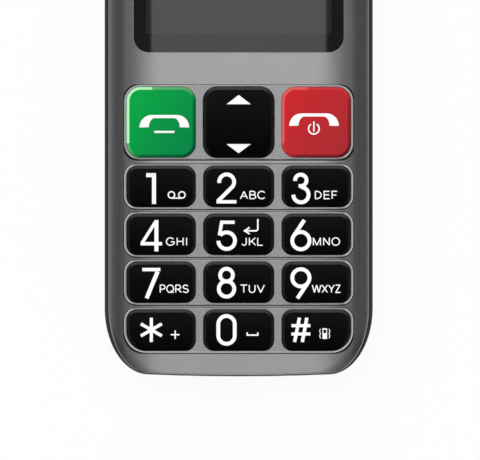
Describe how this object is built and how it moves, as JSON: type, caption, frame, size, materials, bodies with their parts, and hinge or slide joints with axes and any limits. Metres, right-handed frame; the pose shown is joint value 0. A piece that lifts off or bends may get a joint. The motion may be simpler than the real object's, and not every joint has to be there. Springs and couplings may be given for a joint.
{
  "type": "feature phone",
  "caption": "Big-button bar phone with a crowned silver cover, framed key rows, green and red call keys, rear battery.",
  "frame": {"origin": "middle of the flat rear face, with the phone lying on its back", "axes": "+Y towards the top end, along the length; +Z out of the keypad face; X across"},
  "size_m": [0.0536, 0.122, 0.0141],
  "materials": {
    "silver_paint": "metallic gunmetal silver paint on moulded plastic, satin",
    "frame_silver": "lighter silver paint, satin",
    "charcoal_shell": "fine-grained charcoal plastic",
    "cover_shell": "fine-grained charcoal plastic",
    "window": "clear acrylic over a black printed border",
    "panel": "dark display, switched off",
    "foam": "black foam",
    "steel_parts": "tinned sheet steel",
    "mesh": "fine black dust mesh",
    "silicone": "grey silicone",
    "board": "green solder mask",
    "socket_plastic": "black moulded nylon",
    "gold_contacts": "gold plated",
    "battery_wrap": "plain dark film wrap",
    "speaker_body": "black frame",
    "led": "white diode under yellow phosphor",
    "torch_lens": "clear lens",
    "side_key": "smooth black plastic",
    "sos_red": "smooth red plastic",
    "black_gloss": "high-gloss black plastic, white legends",
    "green_gloss": "high-gloss green plastic, white legend",
    "red_gloss": "high-gloss red plastic, white legend"
  },
  "bodies": {
    "housing": {"front_cover": "silver_paint", "call_row_frame": "frame_silver", "number_row_frame_1": "frame_silver", "number_row_frame_2": "frame_silver", "number_row_frame_3": "frame_silver", "number_row_frame_4": "frame_silver", "rear_housing": "charcoal_shell", "display_window": "window", "display_panel": "panel", "display_gasket": "foam", "earpiece": "steel_parts", "earpiece_mesh": "mesh", "keypad_mat": "silicone", "dome_sheet": "steel_parts", "main_board": "board", "shield_cans": "steel_parts", "usb_socket": "steel_parts", "headphone_socket": "socket_plastic", "dock_contacts": "gold_contacts", "battery": "battery_wrap", "battery_contacts": "gold_contacts", "sim_holders": "steel_parts", "card_holder": "steel_parts", "loudspeaker": "speaker_body", "speaker_mesh": "mesh", "microphone": "speaker_body", "vibration_motor": "steel_parts", "antenna": "socket_plastic", "torch_led": "led", "torch_lens": "torch_lens", "side_switches": "socket_plastic", "sos_switch": "socket_plastic", "screws": "steel_parts"},
    "battery_cover": {"battery_cover": "cover_shell"},
    "volume_key": {"volume_key": "side_key"},
    "torch_switch": {"torch_switch": "side_key"},
    "sos_key": {"sos_key": "sos_red"},
    "nav_key": {"nav_key": "black_gloss"},
    "call_key": {"call_key": "green_gloss"},
    "end_key": {"end_key": "red_gloss"},
    "key_1": {"key_1": "black_gloss"},
    "key_2": {"key_2": "black_gloss"},
    "key_3": {"key_3": "black_gloss"},
    "key_4": {"key_4": "black_gloss"},
    "key_5": {"key_5": "black_gloss"},
    "key_6": {"key_6": "black_gloss"},
    "key_7": {"key_7": "black_gloss"},
    "key_8": {"key_8": "black_gloss"},
    "key_9": {"key_9": "black_gloss"},
    "key_star": {"key_star": "black_gloss"},
    "key_0": {"key_0": "black_gloss"},
    "key_hash": {"key_hash": "black_gloss"}
  },
  "joints": [
    {"name": "call_key_press", "type": "slide", "parent": "housing", "child": "call_key", "axis": [0, 0, -1], "range_m": [0, 0.0004], "stiffness_N_per_m": 600, "springref_m": -0.0008},
    {"name": "end_key_press", "type": "slide", "parent": "housing", "child": "end_key", "axis": [0, 0, -1], "range_m": [0, 0.0004], "stiffness_N_per_m": 600, "springref_m": -0.0008},
    {"name": "key_1_press", "type": "slide", "parent": "housing", "child": "key_1", "axis": [0, 0, -1], "range_m": [0, 0.0004], "stiffness_N_per_m": 600, "springref_m": -0.0008},
    {"name": "key_2_press", "type": "slide", "parent": "housing", "child": "key_2", "axis": [0, 0, -1], "range_m": [0, 0.0004], "stiffness_N_per_m": 600, "springref_m": -0.0008},
    {"name": "key_3_press", "type": "slide", "parent": "housing", "child": "key_3", "axis": [0, 0, -1], "range_m": [0, 0.0004], "stiffness_N_per_m": 600, "springref_m": -0.0008},
    {"name": "key_4_press", "type": "slide", "parent": "housing", "child": "key_4", "axis": [0, 0, -1], "range_m": [0, 0.0004], "stiffness_N_per_m": 600, "springref_m": -0.0008},
    {"name": "key_5_press", "type": "slide", "parent": "housing", "child": "key_5", "axis": [0, 0, -1], "range_m": [0, 0.0004], "stiffness_N_per_m": 600, "springref_m": -0.0008},
    {"name": "key_6_press", "type": "slide", "parent": "housing", "child": "key_6", "axis": [0, 0, -1], "range_m": [0, 0.0004], "stiffness_N_per_m": 600, "springref_m": -0.0008},
    {"name": "key_7_press", "type": "slide", "parent": "housing", "child": "key_7", "axis": [0, 0, -1], "range_m": [0, 0.0004], "stiffness_N_per_m": 600, "springref_m": -0.0008},
    {"name": "key_8_press", "type": "slide", "parent": "housing", "child": "key_8", "axis": [0, 0, -1], "range_m": [0, 0.0004], "stiffness_N_per_m": 600, "springref_m": -0.0008},
    {"name": "key_9_press", "type": "slide", "parent": "housing", "child": "key_9", "axis": [0, 0, -1], "range_m": [0, 0.0004], "stiffness_N_per_m": 600, "springref_m": -0.0008},
    {"name": "key_star_press", "type": "slide", "parent": "housing", "child": "key_star", "axis": [0, 0, -1], "range_m": [0, 0.0004], "stiffness_N_per_m": 600, "springref_m": -0.0008},
    {"name": "key_0_press", "type": "slide", "parent": "housing", "child": "key_0", "axis": [0, 0, -1], "range_m": [0, 0.0004], "stiffness_N_per_m": 600, "springref_m": -0.0008},
    {"name": "key_hash_press", "type": "slide", "parent": "housing", "child": "key_hash", "axis": [0, 0, -1], "range_m": [0, 0.0004], "stiffness_N_per_m": 600, "springref_m": -0.0008},
    {"name": "nav_key_rock", "type": "hinge", "parent": "housing", "child": "nav_key", "pos_m": [0, -0.01082, 0.01145], "axis": [1, 0, 0], "range_deg": [-2.5, 2.5], "stiffness_Nm_per_rad": 0.02},
    {"name": "volume_key_rock", "type": "hinge", "parent": "housing", "child": "volume_key", "pos_m": [-0.02485, 0.041, 0.006], "axis": [0, 0, 1], "range_deg": [-3, 3], "stiffness_Nm_per_rad": 0.02},
    {"name": "torch_switch_slide", "type": "slide", "parent": "housing", "child": "torch_switch", "axis": [0, 1, 0], "range_m": [0, 0.003]},
    {"name": "sos_key_press", "type": "slide", "parent": "housing", "child": "sos_key", "axis": [0, 0, 1], "range_m": [0, 0.0004], "stiffness_N_per_m": 600, "springref_m": -0.0008},
    {"name": "battery_cover_slide", "type": "slide", "parent": "housing", "child": "battery_cover", "axis": [0, -1, 0], "range_m": [0, 0.092]}
  ]
}
